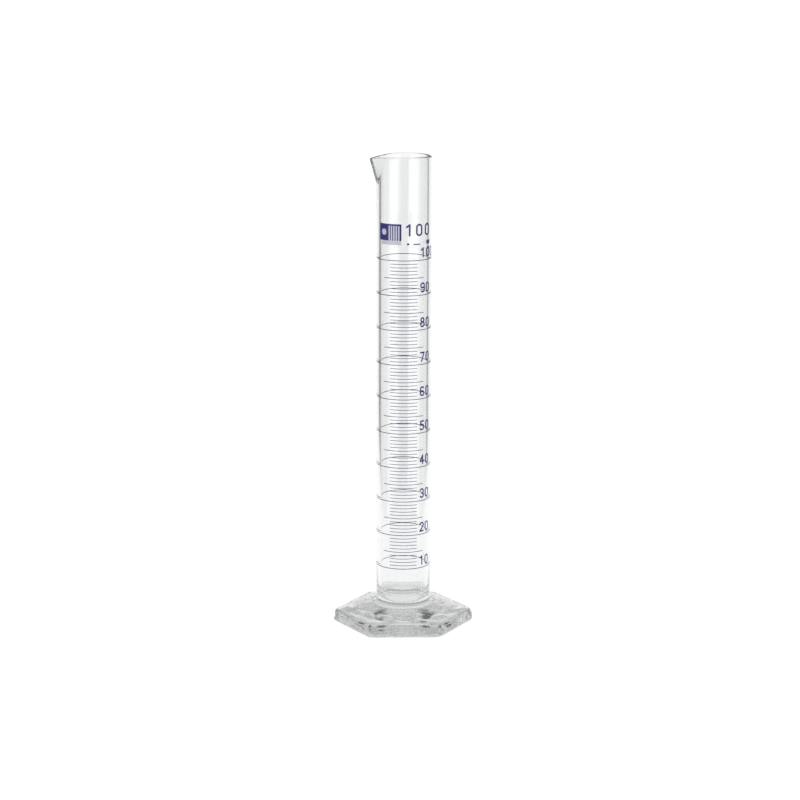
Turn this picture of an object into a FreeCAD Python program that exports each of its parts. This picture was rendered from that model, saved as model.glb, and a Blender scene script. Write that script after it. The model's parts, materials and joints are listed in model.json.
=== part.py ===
import FreeCAD, Part
import math
import os
from FreeCAD import Vector

# Tall-form glass measuring cylinder, 100 mL, with a fused hexagonal foot.
# Millimetres, +Z up, origin at the centre of the foot on the table plane.
# The pouring spout points to -X and the middle of the scale faces -Y.

# Drawn glass tube
tube_outer_r = 15.0
tube_wall = 2.15
bore_r = tube_outer_r - tube_wall
total_height = 263.5
seat_z = 9.0
floor_z = 11.5
floor_corner_r = 11.0
lip_round = 0.7

# Pouring spout
spout_height = 15.7
spout_reach = 4.3
spout_tip_r = 2.9
spout_inner_tip_r = 1.22
spout_lip_wall = 2.1
spout_seam = 0.02
spout_bend = 0.04
spout_steps = 6
spout_dip = 1.6
spout_dip_start_x = 1.5

# Pressed hexagonal foot, fused on a little turned from the spout
foot_turn = 1.5
foot_apothem = 34.8
foot_corner_r = 6.4
foot_draft = 0.6
foot_edge_z = 7.2
foot_edge_round = 2.3
foot_under_round = 1.8
rise_apothem = 31.4
rise_corner_r = 5.0
boss_r = 19.2
boss_z = 10.8
recess_r = 28.0
recess_depth = 1.6

# Fused seal between the tube and the foot
seal_top_z = 16.5
seal_r = 18.6
seal_sag = 1.0

# Enamel print
print_t = 0.06
ring_line = 0.38
mid_line = 0.34
short_line = 0.32
mid_half_angle = 46.0
short_half_angle = 30.0

# Figures printed above each ring mark
figure_h = 5.6
figure_w = 3.4
figure_stroke = 0.85
figure_gap = 0.85
figure_lift = 1.4
figure_start_angle = 36.5

# Heading above the 100 mL ring
heading_base = 13.3
heading_h = 6.8
heading_w = 4.2
heading_stroke = 1.0
heading_pitch_angle = 23.0
heading_start_angle = 10.5
bars_base = 8.6

# Plain two-tone panel beside the heading
panel_start_angle = -59.0
panel_end_angle = -5.5
panel_low = 10.9
panel_high = 20.0
panel_border = 1.0
panel_field_angle = -33.8
panel_bar_angle = 2.2
panel_gap_angle = 3.1
panel_disc_angle = -46.0
panel_disc_r = 1.7
panel_strip_h = 2.3

os.makedirs("parts", exist_ok=True)


def save(name, shape):
    """Write one subcomponent as its own STEP file."""
    shape.exportStep("parts/" + name + ".step")


def bore_area():
    """Cross-section of the straight bore in square millimetres."""
    return math.pi * bore_r ** 2


def level_of(volume_ml):
    """Height of the liquid surface that holds the given volume."""
    c = floor_corner_r
    flat = bore_r - c
    in_corner = math.pi * (flat ** 2 * c + flat * math.pi * c ** 2 / 2 + 2 * c ** 3 / 3)
    return floor_z + c + (volume_ml * 1000.0 - in_corner) / bore_area()


def on_circle(radius, degrees, z):
    """Point on a horizontal circle; the angle starts at +X."""
    a = math.radians(degrees)
    return Vector(radius * math.cos(a), radius * math.sin(a), z)


# ---------------------------------------------------------------- glass tube

def spout_wire(radius, reach, tip_r, z):
    """Closed outline of the tube with a spout that reaches past it on -X."""
    tip_c = radius + reach - tip_r
    turn = math.degrees(math.acos((radius - tip_r) / tip_c))

    def main(d):
        return on_circle(radius, 180 + d, z)

    def tip(d):
        return on_circle(tip_r, 180 + d, z) - Vector(tip_c, 0, 0)

    edges = [
        Part.Arc(main(turn), main((turn + 120) / 2), main(120)).toShape(),
        Part.Arc(main(120), main(180), main(240)).toShape(),
        Part.Arc(main(240), main(300 - turn / 2), main(-turn)).toShape(),
        Part.makeLine(main(-turn), tip(-turn)),
        Part.Arc(tip(-turn), tip(0), tip(turn)).toShape(),
        Part.makeLine(tip(turn), main(turn)),
    ]
    return Part.Wire(edges)


def reach_share(t):
    """Share of the full reach at the fraction t of the spout's height."""
    if t < spout_bend:
        return 0.5 * t * t / spout_bend / (1 - 0.5 * spout_bend)
    return (t - 0.5 * spout_bend) / (1 - 0.5 * spout_bend)


def spout_block(radius, full_reach, tip_r):
    """Solid of the spout zone inside one wall face, from stacked outlines."""
    low = total_height - spout_height
    wires = []
    for i in range(spout_steps + 1):
        t = i / spout_steps
        reach = spout_seam + full_reach * reach_share(t)
        wires.append(spout_wire(radius, reach, tip_r, low + spout_height * t))
    return Part.makeLoft(wires, True, False)


def rim_cutter():
    """Block above the rim; its underside dips towards the spout."""
    far = 40.0
    start_x = -spout_dip_start_x
    tip_x = -(tube_outer_r + spout_reach)
    run = start_x - tip_x
    start = Vector(start_x, -far, total_height)
    mid = Vector(start_x - run / 2, -far, total_height - spout_dip / 4)
    end = Vector(tip_x, -far, total_height - spout_dip)
    slope = 2 * spout_dip / run
    beyond = Vector(-far, -far, end.z - slope * (far + tip_x))
    corners = [Vector(-far, -far, total_height + far), Vector(far, -far, total_height + far)]
    corners.append(Vector(far, -far, total_height))
    edges = [Part.Arc(start, mid, end).toShape(), Part.makeLine(end, beyond)]
    edges.append(Part.makeLine(beyond, corners[0]))
    edges.append(Part.makeLine(corners[0], corners[1]))
    edges.append(Part.makeLine(corners[1], corners[2]))
    edges.append(Part.makeLine(corners[2], start))
    return Part.Face(Part.Wire(edges)).extrude(Vector(0, 2 * far, 0))


def bore_void():
    """Space inside the tube up to the spout, with a rounded floor."""
    height = total_height - spout_height - floor_z
    void = Part.makeCylinder(bore_r, height, Vector(0, 0, floor_z))
    floor_edges = [e for e in void.Edges if abs(e.CenterOfMass.z - floor_z) < 1e-6]
    return void.makeFillet(floor_corner_r, floor_edges)


def glass_tube():
    """Drawn tube with closed bottom, pouring spout and fire-polished rim."""
    spout_low = total_height - spout_height
    body = Part.makeCylinder(tube_outer_r, spout_low - seat_z, Vector(0, 0, seat_z))
    body = body.fuse(spout_block(tube_outer_r, spout_reach, spout_tip_r))
    inner_reach = spout_reach + tube_wall - spout_lip_wall
    body = body.cut(bore_void())
    body = body.cut(spout_block(bore_r, inner_reach, spout_inner_tip_r))
    body = body.cut(rim_cutter())
    rim_low = total_height - spout_dip - 0.4
    rim = [e for e in body.Edges if e.BoundBox.ZMin > rim_low]
    return body.makeFillet(lip_round, rim).Solids[0]


# ---------------------------------------------------------------- pressed foot

def hexagon_wire(apothem, corner_r, z):
    """Hexagon with rounded corners near +X and -X, twelve edges from the first line."""
    centre = (apothem - corner_r) / math.cos(math.radians(30))
    edges = []
    for k in range(6):
        here = on_circle(centre, foot_turn + 60 * k, z)
        after = on_circle(centre, foot_turn + 60 * k + 60, z)
        flat_normal = foot_turn + 60 * k + 30
        shift = on_circle(corner_r, flat_normal, 0)
        turn_mid = on_circle(corner_r, flat_normal + 30, 0)
        turn_end = on_circle(corner_r, flat_normal + 60, 0)
        edges.append(Part.makeLine(here + shift, after + shift))
        edges.append(Part.Arc(after + shift, after + turn_mid, after + turn_end).toShape())
    return Part.Wire(edges)


def circle_wire(radius, z):
    """Circle in twelve arcs that match the edges of the rounded hexagon."""
    half_turn = 12.0
    edges = []
    for k in range(6):
        a0 = foot_turn + 60 * k + half_turn
        a1 = foot_turn + 60 * k + 60 - half_turn
        a2 = foot_turn + 60 * k + 60 + half_turn
        for start, end in ((a0, a1), (a1, a2)):
            points = [on_circle(radius, d, z) for d in (start, (start + end) / 2, end)]
            edges.append(Part.Arc(*points).toShape())
    return Part.Wire(edges)


def hex_foot():
    """Hexagonal plate with soft edges, a raised centre, a tube socket and a hollow underneath."""
    low = hexagon_wire(foot_apothem, foot_corner_r, 0)
    high = hexagon_wire(foot_apothem - foot_draft, foot_corner_r - foot_draft, foot_edge_z)
    plate = Part.makeLoft([low, high], True, True)
    top_edges = [e for e in plate.Edges if abs(e.BoundBox.ZMin - foot_edge_z) < 1e-4]
    plate = plate.makeFillet(foot_edge_round, top_edges)
    low_edges = [e for e in plate.Edges if e.BoundBox.ZMax < 1e-4]
    plate = plate.makeFillet(foot_under_round, low_edges)
    climb = boss_z - foot_edge_z
    rise = [
        hexagon_wire(rise_apothem + 0.2, rise_corner_r, foot_edge_z - 0.4),
        hexagon_wire(rise_apothem - 1.0, rise_corner_r, foot_edge_z + 0.06 * climb),
        hexagon_wire(rise_apothem - 4.5, rise_corner_r + 3.0, foot_edge_z + 0.35 * climb),
        hexagon_wire(rise_apothem - 8.5, rise_corner_r + 9.0, foot_edge_z + 0.72 * climb),
        circle_wire(boss_r, boss_z),
    ]
    plate = plate.fuse(Part.makeLoft(rise, True, True)).removeSplitter()
    socket = Part.makeCylinder(tube_outer_r, boss_z, Vector(0, 0, seat_z))
    ball_r = (recess_r ** 2 + recess_depth ** 2) / (2 * recess_depth)
    ball = Part.makeSphere(ball_r, Vector(0, 0, recess_depth - ball_r))
    return plate.cut(socket).cut(ball).Solids[0]


def fused_seal():
    """Ring of melted glass between the tube's wall and the top of the foot."""
    upper = Vector(tube_outer_r, 0, seal_top_z)
    outer = Vector(seal_r, 0, boss_z)
    across = (upper + outer) * 0.5
    sag = Vector(-1, 0, -1).normalize() * seal_sag
    edges = [Part.Arc(upper, across + sag, outer).toShape()]
    corner = Vector(tube_outer_r, 0, boss_z)
    edges.append(Part.makeLine(outer, corner))
    edges.append(Part.makeLine(corner, upper))
    ring = Part.Face(Part.Wire(edges)).revolve(Vector(0, 0, 0), Vector(0, 0, 1), 360)
    return ring.Solids[0] if ring.Solids else Part.makeSolid(ring)


# ---------------------------------------------------------------- enamel print

def print_shell(low, high):
    """Full ring of enamel on the tube between two heights."""
    outer = Part.makeCylinder(tube_outer_r + print_t, high - low, Vector(0, 0, low))
    inner = Part.makeCylinder(tube_outer_r, high - low, Vector(0, 0, low))
    return outer.cut(inner).Solids[0]


def print_band(low, high, start, end):
    """Patch of enamel between two angles, measured from -Y towards +X."""
    corners = [
        Vector(tube_outer_r, 0, low),
        Vector(tube_outer_r + print_t, 0, low),
        Vector(tube_outer_r + print_t, 0, high),
        Vector(tube_outer_r, 0, high),
    ]
    face = Part.Face(Part.makePolygon(corners + corners[:1]))
    face.rotate(Vector(0, 0, 0), Vector(0, 0, 1), start - 90)
    band = face.revolve(Vector(0, 0, 0), Vector(0, 0, 1), end - start)
    return band.Solids[0] if band.Solids else Part.makeSolid(band)


def ring_mark(volume_ml):
    """Long mark that runs right round the tube."""
    z = level_of(volume_ml)
    return print_shell(z - ring_line / 2, z + ring_line / 2)


def front_mark(volume_ml, line, half_angle):
    """Shorter mark centred on the front of the tube."""
    z = level_of(volume_ml)
    return print_band(z - line / 2, z + line / 2, -half_angle, half_angle)


def fine_scale(decade_ml):
    """The eight one-millilitre marks between two ring marks."""
    steps = [n for n in range(1, 10) if n != 5]
    return Part.makeCompound([front_mark(decade_ml + n, short_line, short_half_angle) for n in steps])


def figure_paths(digit, w, h):
    """Centre lines of one figure in a box of width w and height h.

    A line holds its two ends; an arc holds centre, radius, start and end angle.
    """
    r = w / 2
    top = ("arc", (r, h - r), r)
    low = ("arc", (r, r), r)
    q = h / 4
    bowl = 0.31 * h
    left = ("line", (0, r), (0, h - r))
    right = ("line", (w, r), (w, h - r))
    return {
        "0": [top + (0, 180), low + (180, 360), left, right],
        "1": [("line", (0.6 * w, 0), (0.6 * w, h)), ("line", (0.6 * w, h), (0.1 * w, 0.8 * h))],
        "2": [top + (-35, 165), ("line", (1.82 * r, h - 1.57 * r), (0, 0)), ("line", (0, 0), (w, 0))],
        "3": [("arc", (r, 3 * q), q, -90, 150), ("arc", (r, q), q, -150, 90)],
        "4": [("line", (0.72 * w, 0), (0.72 * w, h)), ("line", (0.72 * w, h), (0, 0.3 * h)),
              ("line", (0, 0.3 * h), (w, 0.3 * h))],
        "5": [("line", (0.95 * w, h), (0.14 * w, h)), ("line", (0.14 * w, h), (0.08 * w, 0.52 * h)),
              ("arc", (w - bowl, bowl), bowl, -140, 128)],
        "6": [low + (0, 360), left, top + (40, 180)],
        "7": [("line", (0, h), (w, h)), ("line", (w, h), (0.28 * w, 0))],
        "8": [("arc", (r, 0.77 * h), 0.23 * h, 0, 360), ("arc", (r, 0.27 * h), 0.27 * h, 0, 360)],
        "9": [top + (0, 360), right, low + (220, 360)],
    }[digit]


def stroke_prisms(path, stroke, x0, z0):
    """Prisms along Y that cover one stroke, with round ends."""
    depth = Vector(0, tube_outer_r / 2, 0)
    front = -tube_outer_r - 1
    half = stroke / 2

    def at(x, z):
        return Vector(x0 + x, front, z0 + z)

    def post(centre, radius):
        return Part.makeCylinder(radius, depth.y, centre, Vector(0, 1, 0))

    if path[0] == "line":
        a = at(*path[1])
        b = at(*path[2])
        side = (b - a).cross(Vector(0, 1, 0)).normalize() * half
        corners = [a + side, b + side, b - side, a - side, a + side]
        return [Part.Face(Part.makePolygon(corners)).extrude(depth), post(a, half), post(b, half)]
    centre, radius, start, end = path[1:]
    mid = at(*centre)
    if end - start >= 360:
        return [post(mid, radius + half).cut(post(mid, radius - half))]

    def spoke(r, degrees):
        a = math.radians(degrees)
        return mid + Vector(r * math.cos(a), 0, r * math.sin(a))

    angles = (start, (start + end) / 2, end)
    outer = [spoke(radius + half, d) for d in angles]
    inner = [spoke(radius - half, d) for d in angles]
    edges = [Part.Arc(*outer).toShape(), Part.makeLine(outer[2], inner[2])]
    edges += [Part.Arc(*reversed(inner)).toShape(), Part.makeLine(inner[0], outer[0])]
    bend = Part.Face(Part.Wire(edges)).extrude(depth)
    return [bend, post(spoke(radius, start), half), post(spoke(radius, end), half)]


def figure(digit, base_z, width, height, stroke, centre_angle):
    """One printed figure wrapped on the tube at an angle from -Y towards +X."""
    box_w = width - stroke
    box_h = height - stroke
    prisms = []
    for path in figure_paths(digit, box_w, box_h):
        prisms += stroke_prisms(path, stroke, -box_w / 2, base_z + stroke / 2)
    block = prisms[0].multiFuse(prisms[1:]).removeSplitter()
    wrapped = block.common(print_shell(base_z - 1, base_z + height + 1))
    wrapped.rotate(Vector(0, 0, 0), Vector(0, 0, 1), centre_angle)
    return wrapped.Solids


def step_angle(distance):
    """Angle on the tube that matches a printed distance."""
    return math.degrees(distance / tube_outer_r)


def numeral(volume_ml):
    """Figures that name one ring mark, printed just above it."""
    base = level_of(volume_ml) + figure_lift
    pitch = step_angle(figure_w + figure_gap)
    first = figure_start_angle + step_angle(figure_w / 2)
    solids = []
    for i, digit in enumerate(str(volume_ml)):
        solids += figure(digit, base, figure_w, figure_h, figure_stroke, first + pitch * i)
    return Part.makeCompound(solids)


def capacity_heading():
    """Large 100 above the scale."""
    base = level_of(100) + heading_base
    solids = []
    for i, digit in enumerate("100"):
        angle = heading_start_angle + heading_pitch_angle * i
        solids += figure(digit, base, heading_w, heading_h, heading_stroke, angle)
    return Part.makeCompound(solids)


def panel_gaps():
    """Angle pairs of the light gaps between the panel's upright bars."""
    gaps = []
    start = panel_field_angle
    while start + panel_gap_angle < panel_end_angle - panel_bar_angle:
        gaps.append((start, start + panel_gap_angle))
        start += panel_gap_angle + panel_bar_angle
    return gaps


def panel_disc():
    """Round post that marks the light disc in the panel's dark end."""
    z = level_of(100) + (panel_low + panel_high) / 2
    post = Part.makeCylinder(panel_disc_r, tube_outer_r, Vector(0, -tube_outer_r - 1, z), Vector(0, 1, 0))
    post.rotate(Vector(0, 0, 0), Vector(0, 0, 1), panel_disc_angle)
    return post


def marking_panel():
    """Dark part of the panel: a solid end with a disc left open, and upright bars."""
    low = level_of(100) + panel_low
    high = level_of(100) + panel_high
    panel = print_band(low, high, panel_start_angle, panel_end_angle)
    panel = panel.cut(panel_disc())
    for start, end in panel_gaps():
        panel = panel.cut(print_band(low, high - panel_border, start, end))
    return panel.Solids[0]


def panel_tint():
    """Light part of the panel: the disc, the gaps and a strip underneath."""
    low = level_of(100) + panel_low
    high = level_of(100) + panel_high
    disc = print_shell(low, high).common(panel_disc())
    pieces = list(disc.Solids)
    for start, end in panel_gaps():
        pieces.append(print_band(low, high - panel_border, start, end))
    strip_start = panel_start_angle + 4
    pieces.append(print_band(low - panel_strip_h, low, strip_start, panel_end_angle))
    return Part.makeCompound(pieces)


def small_print_bars():
    """Plain bars in the place of the small print under the heading."""
    low = level_of(100) + bars_base
    bars = []
    for a0, a1, height in ((6, 11, 1.0), (20, 36, 0.6), (54, 66, 2.2)):
        bars.append(print_band(low, low + height, a0, a1))
    return Part.makeCompound(bars)


save("glass_tube", glass_tube())
save("hex_foot", hex_foot())
save("fused_seal", fused_seal())
for volume in range(10, 101, 10):
    save("ring_mark_%d" % volume, ring_mark(volume))
    save("numeral_%d" % volume, numeral(volume))
for decade in range(10, 100, 10):
    save("mid_mark_%d" % (decade + 5), front_mark(decade + 5, mid_line, mid_half_angle))
    save("fine_scale_%d" % decade, fine_scale(decade))
save("capacity_heading", capacity_heading())
save("marking_panel", marking_panel())
save("panel_tint", panel_tint())
save("small_print_bars", small_print_bars())
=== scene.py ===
import json
import math

import bpy
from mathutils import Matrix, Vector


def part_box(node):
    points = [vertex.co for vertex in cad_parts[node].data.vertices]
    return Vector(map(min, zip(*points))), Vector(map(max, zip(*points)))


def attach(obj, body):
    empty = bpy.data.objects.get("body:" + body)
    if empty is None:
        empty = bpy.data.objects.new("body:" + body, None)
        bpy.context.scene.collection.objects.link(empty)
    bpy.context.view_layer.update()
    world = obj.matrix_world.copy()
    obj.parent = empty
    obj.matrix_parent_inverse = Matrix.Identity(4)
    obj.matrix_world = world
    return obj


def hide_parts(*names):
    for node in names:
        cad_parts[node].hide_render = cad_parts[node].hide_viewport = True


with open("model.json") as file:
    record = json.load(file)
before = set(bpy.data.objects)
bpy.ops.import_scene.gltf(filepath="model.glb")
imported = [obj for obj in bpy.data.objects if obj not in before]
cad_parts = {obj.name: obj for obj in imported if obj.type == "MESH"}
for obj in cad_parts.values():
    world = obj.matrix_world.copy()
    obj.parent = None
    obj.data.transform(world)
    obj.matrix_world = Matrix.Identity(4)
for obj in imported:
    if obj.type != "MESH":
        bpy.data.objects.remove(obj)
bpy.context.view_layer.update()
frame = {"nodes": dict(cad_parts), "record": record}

# Sizes read from the frame, in metres
tube_low, tube_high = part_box("glass_tube")
foot_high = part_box("hex_foot")[1]
seal_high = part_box("fused_seal")[1]
bore = next(m for m in frame["record"]["mounts"] if m["name"] == "tube_bore")
bore_r = bore["dims"]["r_mm"] / 1000
bore_low = bore["pos_m"][2] - bore["dims"]["length_mm"] / 2000
bore_high = bore["pos_m"][2] + bore["dims"]["length_mm"] / 2000
tube_r = tube_high.y
rim_z = tube_high.z
spout_reach = -tube_low.x - tube_r
boss_z = foot_high.z
seal_top = seal_high.z
seal_r = seal_high.x

# Shape of the glass, in metres
MM = 0.001
print_bond = 0.015 * MM
lip_wall = 2.1 * MM
spout_tip_r = 2.9 * MM
spout_inner_tip_r = 1.22 * MM
spout_seam = 0.02 * MM
# Power of the height share in the inner reach; over 1, the glass is thicker low in the spout
spout_inner_power = 1.28
spout_dip = 1.6 * MM
spout_dip_start = 1.5 * MM
floor_corner_r = 11.0 * MM
floor_dish = 0.3 * MM
foot_turn = math.radians(1.5)
foot_apothem = 34.8 * MM
foot_corner_r = 6.4 * MM
foot_draft = 0.6 * MM
foot_edge_z = 7.2 * MM
foot_edge_round = 2.3 * MM
foot_under_round = 1.8 * MM
boss_r = 19.2 * MM
recess_r = 28.0 * MM
recess_depth = 1.6 * MM

# Unevenness of the pressed foot, in metres
side_dimple = 0.4 * MM
edge_wave = 0.18 * MM
rise_wave = 0.2 * MM
rise_dimple = 0.5 * MM

# Outlines in each zone of the glass body
hollow_rings = 14
side_rings = 6
rise_rings = 18
seal_steps = 8
straight_rings = 16
spout_rings = 36
rim_rings = 12
floor_rings = 6


def mix(a, b, t):
    """Value at the share t of the way from a to b."""
    return a + (b - a) * t


# ------------------------------------------------------------------ outlines in polar form

def rounded_hexagon(angle, apothem, corner_r):
    """Distance from the centre to a rounded hexagon, turned like the foot."""
    off = (math.degrees(angle - foot_turn) + 30) % 60 - 30
    off = abs(math.radians(off))
    centre = (apothem - corner_r) / math.cos(math.radians(30))
    edge_start = math.atan2(corner_r * 0.5, centre + corner_r * math.cos(math.radians(30)))
    if off < edge_start:
        return centre * math.cos(off) + math.sqrt(corner_r ** 2 - (centre * math.sin(off)) ** 2)
    return apothem / math.cos(math.radians(30) - off)


def spouted_circle(angle, radius, reach, tip_r):
    """Distance from the centre to a circle with a spout on -X that reaches past it."""
    off = abs((math.degrees(angle) % 360) - 180)
    off = math.radians(off)
    tip_c = radius + reach - tip_r
    turn = math.acos(min(1.0, (radius - tip_r) / tip_c))
    tip_end = math.atan2(tip_r * math.sin(turn), tip_c + tip_r * math.cos(turn))
    if off >= turn:
        return radius
    if off >= tip_end:
        return radius / math.cos(turn - off)
    return tip_c * math.cos(off) + math.sqrt(tip_r ** 2 - (tip_c * math.sin(off)) ** 2)


def column_angles():
    """Angles of the mesh's columns, closer together near the hexagon's corners."""
    fine, coarse = 0.45, 1.5
    fine_steps = 20
    fine_end = fine_steps * fine
    half = [fine * i for i in range(fine_steps)]
    coarse_steps = round((30 - fine_end) / coarse)
    half += [fine_end + coarse * i for i in range(coarse_steps)]
    sector = half + [30] + [60 - d for d in reversed(half[1:])]
    return [foot_turn + math.radians(60 * k + d) for k in range(6) for d in sector]


# ------------------------------------------------------------------ the fused glass body

def press_wave(angle, seed):
    """Slow unevenness of pressed and fire-polished glass, about -1 to 1."""
    a = math.sin(3 * angle + seed)
    b = math.sin(5 * angle + 2.3 * seed + 1)
    c = math.sin(11 * angle + 1.7 * seed)
    return (a + 0.7 * b + 0.35 * c) / 2.05


def dimple(angle, t, seed):
    """Small hollows and swells left by the press, about -1 to 1."""
    a = math.sin(4 * angle + 9 * t + seed)
    b = math.sin(7 * angle - 6 * t + 1.9 * seed)
    c = math.sin(13 * angle + 14 * t + 0.7 * seed)
    return (a * b + 0.5 * c) / 1.5


def foot_rings():
    """Outlines of the foot from the middle of the underside up to the seal."""
    rings = []
    for i in range(1, hollow_rings + 1):
        r = recess_r * i / hollow_rings
        rings.append(lambda a, r=r: (r, recess_depth * (1 - (r / recess_r) ** 2)))
    under = foot_apothem - foot_under_round
    under_corner = foot_corner_r - foot_under_round
    for t in (0.1, 0.5, 0.9):
        rings.append(lambda a, t=t: (mix(recess_r, rounded_hexagon(a, under, under_corner), t), 0))
    for i in range(10):
        q = math.radians(-90 + 10 * i)
        rings.append(lambda a, q=q: (
            rounded_hexagon(a, under, under_corner) + foot_under_round * math.cos(q),
            foot_under_round * (1 + math.sin(q))))
    top = foot_edge_z - foot_edge_round
    for i in range(1, side_rings):
        z = mix(foot_under_round, top, i / side_rings)
        inset = foot_draft * z / foot_edge_z
        bulge = side_dimple * math.sin(math.pi * i / side_rings)
        rings.append(lambda a, z=z, inset=inset, bulge=bulge: (
            rounded_hexagon(a, foot_apothem - inset, foot_corner_r - inset)
            + bulge * dimple(3 * a, 0, 0.7), z))
    inner = foot_apothem - foot_draft - foot_edge_round
    inner_corner = foot_corner_r - foot_draft - foot_edge_round
    for i in range(11):
        q = math.radians(9 * i)
        rings.append(lambda a, q=q: (
            rounded_hexagon(a, inner, inner_corner) + foot_edge_round * math.cos(q),
            top + foot_edge_round * math.sin(q) + edge_wave * press_wave(a, 2.1) * math.sin(q)))
    for i in range(1, rise_rings + 1):
        t = i / rise_rings
        rings.append(lambda a, t=t: (
            mix(rounded_hexagon(a, inner, inner_corner), boss_r, t),
            mix(foot_edge_z, boss_z, t ** 1.2)
            + rise_wave * press_wave(a, 2.1) * (1 - t)
            + rise_dimple * dimple(a, t, 1.3) * math.sin(math.pi * t)))
    return rings


def seal_rings():
    """Concave ring of melted glass between the foot and the tube."""
    rings = []
    for i in range(1, seal_steps + 1):
        t = i / seal_steps
        r = mix(seal_r, tube_r, 1 - (1 - t) ** 1.8)
        z = mix(boss_z, seal_top, t ** 1.8)
        rings.append(lambda a, r=r, z=z: (r, z))
    return rings


def rim_height(angle, r):
    """Height of the rim, which dips towards the spout."""
    x = r * math.cos(angle)
    run = tube_r + spout_reach - spout_dip_start
    share = max(0.0, (-x - spout_dip_start) / run)
    return rim_z - spout_dip * share ** 2


def wall_rings():
    """Outer wall, spout, rounded rim, inner wall and rounded floor of the tube."""
    outer_r = tube_r + print_bond
    rings = []
    for i in range(1, straight_rings):
        z = mix(seal_top, bore_high, i / straight_rings)
        rings.append(lambda a, z=z: (outer_r, z))
    inner_reach = spout_reach + (tube_r - bore_r) - lip_wall

    def wall(a, t, side):
        """Radius of the outer (side 1) or inner (side -1) face at a height share of the spout."""
        if side > 0:
            return spouted_circle(a, outer_r, mix(spout_seam, spout_reach, t), spout_tip_r)
        return spouted_circle(
            a, bore_r, mix(spout_seam, inner_reach, t ** spout_inner_power), spout_inner_tip_r)

    def lip(a):
        """Middle and half thickness of the rim at one angle."""
        out = wall(a, 1.0, 1)
        inn = wall(a, 1.0, -1)
        return (out + inn) / 2, (out - inn) / 2

    def wall_z(a, t):
        mid, half = lip(a)
        return mix(bore_high, rim_height(a, mid) - half, t)

    for i in range(spout_rings + 1):
        t = i / spout_rings
        rings.append(lambda a, t=t: (wall(a, t, 1), wall_z(a, t)))
    for i in range(1, rim_rings):
        q = math.pi * i / rim_rings
        rings.append(lambda a, q=q: (
            lip(a)[0] + lip(a)[1] * math.cos(q),
            rim_height(a, lip(a)[0]) - lip(a)[1] * (1 - math.sin(q))))
    for i in range(spout_rings + 1):
        t = 1 - i / spout_rings
        rings.append(lambda a, t=t: (wall(a, t, -1), wall_z(a, t)))
    for i in range(1, straight_rings + 1):
        z = mix(bore_high, bore_low, i / straight_rings)
        rings.append(lambda a, z=z: (bore_r, z))
    flat = bore_r - floor_corner_r
    for i in range(1, 10):
        q = math.radians(10 * i)
        rings.append(lambda a, q=q: (
            flat + floor_corner_r * math.cos(q), bore_low - floor_corner_r * math.sin(q)))
    for i in range(1, floor_rings):
        r = flat * (1 - i / floor_rings)
        z = bore_low - floor_corner_r - floor_dish * (1 - (r / flat) ** 2) * 0.5
        rings.append(lambda a, r=r, z=z: (r, z))
    return rings


def glass_body():
    """One closed mesh for the tube, the seal and the foot, which are fused glass."""
    angles = column_angles()
    rings = foot_rings() + seal_rings() + wall_rings()
    verts = [(0, 0, recess_depth)]
    for ring in rings:
        for a in angles:
            r, z = ring(a)
            verts.append((r * math.cos(a), r * math.sin(a), z))
    floor_mid = bore_low - floor_corner_r - floor_dish * 0.5
    verts.append((0, 0, floor_mid))
    n = len(angles)
    faces = []
    for j in range(n):
        faces.append((0, 1 + (j + 1) % n, 1 + j))
    for i in range(len(rings) - 1):
        low = 1 + i * n
        for j in range(n):
            k = (j + 1) % n
            faces.append((low + j, low + k, low + n + k, low + n + j))
    last = 1 + (len(rings) - 1) * n
    for j in range(n):
        faces.append((last + j, last + (j + 1) % n, len(verts) - 1))
    mesh = bpy.data.meshes.new("glass_body")
    mesh.from_pydata(verts, [], faces)
    mesh.validate()
    mesh.shade_smooth()
    obj = bpy.data.objects.new("glass_body", mesh)
    bpy.context.scene.collection.objects.link(obj)
    return obj


# ------------------------------------------------------------------ materials

def new_material(name):
    """Material with its node tree, its Principled shader and its output."""
    mat = bpy.data.materials.new(name)
    mat.use_nodes = True
    nodes = mat.node_tree.nodes
    return mat, mat.node_tree, nodes["Principled BSDF"], nodes["Material Output"]


# Size of the drawn lines across and along the tube, as noise scales
draw_scale = (260, 260, 14)
# Height of the drawn lines' relief, in metres
draw_relief = 0.02 * MM
# Tint of the glass at its faces, from the darkest drawn lines to the lightest
dark_draw_tint = (0.942, 0.95, 0.948, 1)
light_draw_tint = (0.957, 0.96, 0.96, 1)
# Heights between which the underside turns from polished to satin, in metres
satin_start_z = 2.6 * MM
satin_full_z = 1.7 * MM
satin_roughness = 0.2
# Grey tint that the glass gains in depth, and its strength per metre
depth_tint = (0.858, 0.863, 0.862, 1)
depth_density = 23


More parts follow.
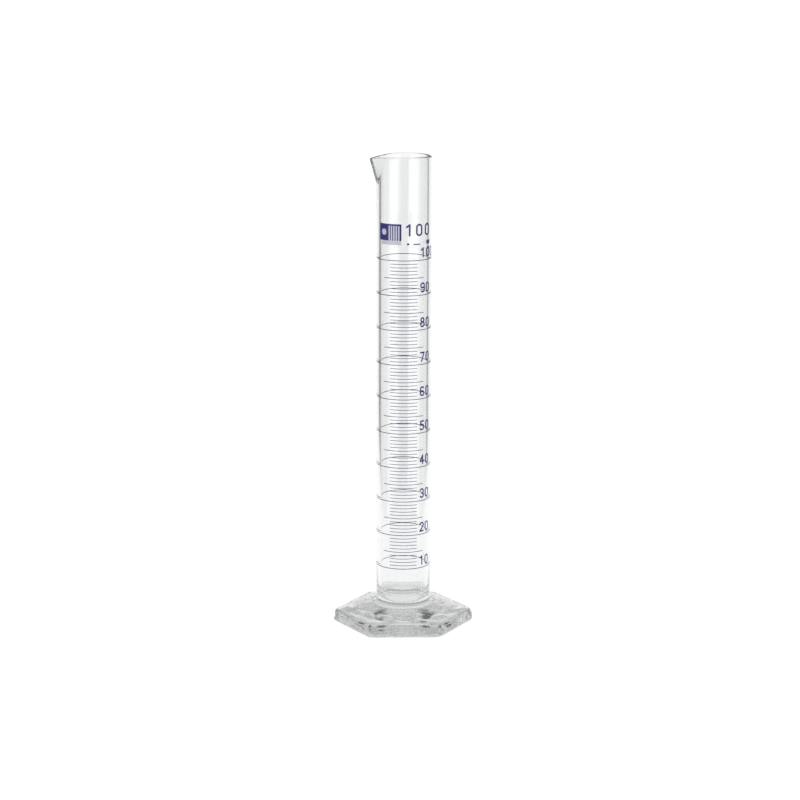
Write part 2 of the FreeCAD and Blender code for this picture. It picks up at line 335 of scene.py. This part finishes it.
def clear_glass():
    """Clear glass, faintly wavy along the draw, grey in depth, satin on the underside."""
    mat, tree, shader, out = new_material("clear_glass")
    shader.inputs["Transmission Weight"].default_value = 1
    shader.inputs["IOR"].default_value = 1.5
    coord = tree.nodes.new("ShaderNodeTexCoord")
    drawn = tree.nodes.new("ShaderNodeMapping")
    drawn.inputs["Scale"].default_value = draw_scale
    lines = tree.nodes.new("ShaderNodeTexNoise")
    lines.inputs["Scale"].default_value = 1
    lines.inputs["Detail"].default_value = 2
    tint = tree.nodes.new("ShaderNodeValToRGB")
    tint.color_ramp.elements[0].position = 0.35
    tint.color_ramp.elements[0].color = dark_draw_tint
    tint.color_ramp.elements[1].position = 0.65
    tint.color_ramp.elements[1].color = light_draw_tint
    relief = tree.nodes.new("ShaderNodeBump")
    relief.inputs["Strength"].default_value = 0.5
    relief.inputs["Distance"].default_value = draw_relief
    tree.links.new(coord.outputs["Object"], drawn.inputs["Vector"])
    tree.links.new(drawn.outputs["Vector"], lines.inputs["Vector"])
    tree.links.new(lines.outputs["Fac"], tint.inputs["Fac"])
    tree.links.new(tint.outputs["Color"], shader.inputs["Base Color"])
    tree.links.new(lines.outputs["Fac"], relief.inputs["Height"])
    tree.links.new(relief.outputs["Normal"], shader.inputs["Normal"])
    split = tree.nodes.new("ShaderNodeSeparateXYZ")
    tree.links.new(coord.outputs["Object"], split.inputs["Vector"])
    worn = tree.nodes.new("ShaderNodeMapRange")
    worn.inputs["From Min"].default_value = satin_start_z
    worn.inputs["From Max"].default_value = satin_full_z
    worn.inputs["To Max"].default_value = satin_roughness
    tree.links.new(split.outputs["Z"], worn.inputs["Value"])
    tree.links.new(worn.outputs["Result"], shader.inputs["Roughness"])
    depth = tree.nodes.new("ShaderNodeVolumeAbsorption")
    depth.inputs["Color"].default_value = depth_tint
    depth.inputs["Density"].default_value = depth_density
    tree.links.new(depth.outputs["Volume"], out.inputs["Volume"])
    return mat


def printed_enamel(name, deep, light):
    """Fired print: nearly opaque, a little uneven in depth, slightly glossy."""
    mat, tree, shader, out = new_material(name)
    coord = tree.nodes.new("ShaderNodeTexCoord")
    noise = tree.nodes.new("ShaderNodeTexNoise")
    noise.inputs["Scale"].default_value = 900
    noise.inputs["Detail"].default_value = 4
    ramp = tree.nodes.new("ShaderNodeValToRGB")
    ramp.color_ramp.elements[0].position = 0.3
    ramp.color_ramp.elements[0].color = deep + (1,)
    ramp.color_ramp.elements[1].position = 0.75
    ramp.color_ramp.elements[1].color = light + (1,)
    tree.links.new(coord.outputs["Object"], noise.inputs["Vector"])
    tree.links.new(noise.outputs["Fac"], ramp.inputs["Fac"])
    tree.links.new(ramp.outputs["Color"], shader.inputs["Base Color"])
    shader.inputs["Roughness"].default_value = 0.35
    shader.inputs["Coat Weight"].default_value = 0.3
    return mat


# ------------------------------------------------------------------ studio

# Brightness of the floor outside the frame to the front
front_level = 0.22
# Brightness of the painted shadow on the glowing floor right under the foot
painted_shadow_level = 0.83
# Brightness of the plain floor round the object
page_level = 1.03
# Half width of the floor and its height just under the foot, in metres
floor_half = 30.0
floor_z = -0.2 * MM
# The plain floor ends at |x| = side_start + side_slope * y and at y = -front_start, in metres
side_start = 0.236
side_slope = 0.168
front_start = 0.31
# Widths over which it fades to the side and front zones, in metres
side_fade = 0.03
front_fade = 0.015
# Brightness of the floor outside the frame by direction: degrees from +Y towards +X
floor_turns = (
    (-154.5, front_level), (-153.5, 1.6), (-112, 1.6), (-104, 0.42), (-42, 0.22), (-30, 1.0),
    (30, 1.0), (42, 0.42), (104, 0.5), (112, 1.6), (162, 1.6), (163, front_level))


def studio_floor():
    """Wide pale floor, plain within the frame, with grey and bright zones beyond it and a painted
    shadow under the foot.
    """
    mesh = bpy.data.meshes.new("studio_floor")
    sides = ((-1, -1), (1, -1), (1, 1), (-1, 1))
    corners = [(across * floor_half, along * floor_half, floor_z) for across, along in sides]
    mesh.from_pydata(corners, [], [(0, 1, 2, 3)])
    floor = bpy.data.objects.new("studio_floor", mesh)
    bpy.context.scene.collection.objects.link(floor)
    mat = bpy.data.materials.new("studio_floor")
    mat.use_nodes = True
    tree = mat.node_tree
    tree.nodes.clear()
    out = tree.nodes.new("ShaderNodeOutputMaterial")
    glow = tree.nodes.new("ShaderNodeEmission")
    glow.inputs["Color"].default_value = (1, 1, 1, 1)
    coord = tree.nodes.new("ShaderNodeTexCoord")
    split = tree.nodes.new("ShaderNodeSeparateXYZ")
    tree.links.new(coord.outputs["Object"], split.inputs["Vector"])

    def math_node(op, *values):
        node = tree.nodes.new("ShaderNodeMath")
        node.operation = op
        for i, value in enumerate(values):
            if isinstance(value, (int, float)):
                node.inputs[i].default_value = value
            else:
                tree.links.new(value, node.inputs[i])
        return node.outputs[0]

    x, y = split.outputs["X"], split.outputs["Y"]
    span = math_node("SQRT", math_node("ADD", math_node("MULTIPLY", x, x), math_node("MULTIPLY", y, y)))
    # Painted shadow under the foot: the floor's glow falls to the shadow level towards the middle
    shade = tree.nodes.new("ShaderNodeMapRange")
    shade.interpolation_type = "SMOOTHSTEP"
    shade.inputs["From Min"].default_value = foot_apothem * 0.55
    shade.inputs["From Max"].default_value = foot_apothem
    shade.inputs["To Min"].default_value = painted_shadow_level
    tree.links.new(span, shade.inputs["Value"])
    turn = math_node("DIVIDE", math_node("ARCTAN2", x, y), 2 * math.pi)
    by_turn = tree.nodes.new("ShaderNodeValToRGB")
    ramp = by_turn.color_ramp
    ramp.elements[0].position = 0
    ramp.elements[0].color = (front_level,) * 3 + (1,)
    ramp.elements[1].position = 1
    ramp.elements[1].color = (front_level,) * 3 + (1,)
    for degrees, level in floor_turns:
        stop = ramp.elements.new(0.5 + degrees / 360)
        stop.color = (level, level, level, 1)
    tree.links.new(math_node("ADD", turn, 0.5), by_turn.inputs["Fac"])
    side_edge = math_node("MULTIPLY_ADD", y, side_slope, side_start)
    beside = math_node("SUBTRACT", math_node("ABSOLUTE", x), side_edge)
    before = math_node("SUBTRACT", math_node("MULTIPLY", y, -1.0), front_start)
    outside = math_node(
        "MAXIMUM", math_node("DIVIDE", beside, side_fade), math_node("DIVIDE", before, front_fade))
    spread = tree.nodes.new("ShaderNodeMapRange")
    tree.links.new(outside, spread.inputs["Value"])
    level = tree.nodes.new("ShaderNodeMix")
    level.data_type = "FLOAT"
    level.inputs["A"].default_value = page_level
    tree.links.new(spread.outputs["Result"], level.inputs["Factor"])
    tree.links.new(by_turn.outputs["Color"], level.inputs["B"])
    strength = math_node("MULTIPLY", level.outputs["Result"], shade.outputs["Result"])
    tree.links.new(strength, glow.inputs["Strength"])
    tree.links.new(glow.outputs["Emission"], out.inputs["Surface"])
    floor.data.materials.append(mat)


# Brightness of the surrounding light by height: sine of the angle above the horizon
horizon_level = 0.15
zenith_level = 0.8
sky_levels = ((0.12, 0.35), (0.25, 1.0), (0.42, 0.4), (0.7, 0.5), (0.85, 1.0))


def studio_world():
    """Soft surrounding light in bands of height, dim at the horizon, brightest at two heights."""
    world = bpy.data.worlds.new("studio_world")
    bpy.context.scene.world = world
    world.use_nodes = True
    tree = world.node_tree
    back = tree.nodes["Background"]
    coord = tree.nodes.new("ShaderNodeTexCoord")
    split = tree.nodes.new("ShaderNodeSeparateXYZ")
    ramp = tree.nodes.new("ShaderNodeValToRGB")
    ramp.color_ramp.elements[0].position = 0.0
    ramp.color_ramp.elements[0].color = (horizon_level,) * 3 + (1,)
    ramp.color_ramp.elements[1].position = 1.0
    ramp.color_ramp.elements[1].color = (zenith_level,) * 3 + (1,)
    for position, level in sky_levels:
        stop = ramp.color_ramp.elements.new(position)
        stop.color = (level, level, level, 1)
    tree.links.new(coord.outputs["Generated"], split.inputs["Vector"])
    tree.links.new(split.outputs["Z"], ramp.inputs["Fac"])
    tree.links.new(ramp.outputs["Color"], back.inputs["Color"])
    back.inputs["Strength"].default_value = 1.0


# Place of the camera, in metres, its tilt below the horizon and its roll, in degrees
camera_place = (-0.00198, -1.291, 0.3961)
camera_tilt = 11.76
camera_roll = 0.14
# Lens and sensor width, in millimetres
camera_lens = 106.7
camera_sensor = 36


def camera():
    """Camera in front of the scale and above the rim, tilted down to the middle of the object."""
    data = bpy.data.cameras.new("camera")
    data.sensor_width = camera_sensor
    data.lens = camera_lens
    data.clip_end = 100
    cam = bpy.data.objects.new("camera", data)
    bpy.context.scene.collection.objects.link(cam)
    cam.location = camera_place
    cam.rotation_euler = (math.radians(90 - camera_tilt), 0, 0)
    cam.rotation_euler.rotate_axis("Z", math.radians(camera_roll))
    bpy.context.scene.camera = cam


# Bounces that light may take through the glass
glass_bounces = 96


def render_settings():
    """Plain colours and enough bounces for light to pass through all the glass."""
    scene = bpy.context.scene
    scene.view_settings.view_transform = "Standard"
    scene.cycles.max_bounces = glass_bounces
    scene.cycles.transmission_bounces = glass_bounces
    scene.cycles.glossy_bounces = glass_bounces
    scene.cycles.diffuse_bounces = 4


glass = glass_body()
glass.data.materials.append(clear_glass())
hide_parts("glass_tube", "hex_foot", "fused_seal")
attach(glass, "root")

blue_enamel = printed_enamel("blue_enamel", (0.01, 0.01, 0.13), (0.03, 0.03, 0.25))
pale_enamel = printed_enamel("pale_enamel", (0.62, 0.63, 0.79), (0.74, 0.75, 0.87))
for name, node in frame["nodes"].items():
    if name in ("glass_tube", "hex_foot", "fused_seal"):
        continue
    node.data.materials.clear()
    node.data.materials.append(pale_enamel if name == "panel_tint" else blue_enamel)

studio_floor()
studio_world()
camera()
render_settings()
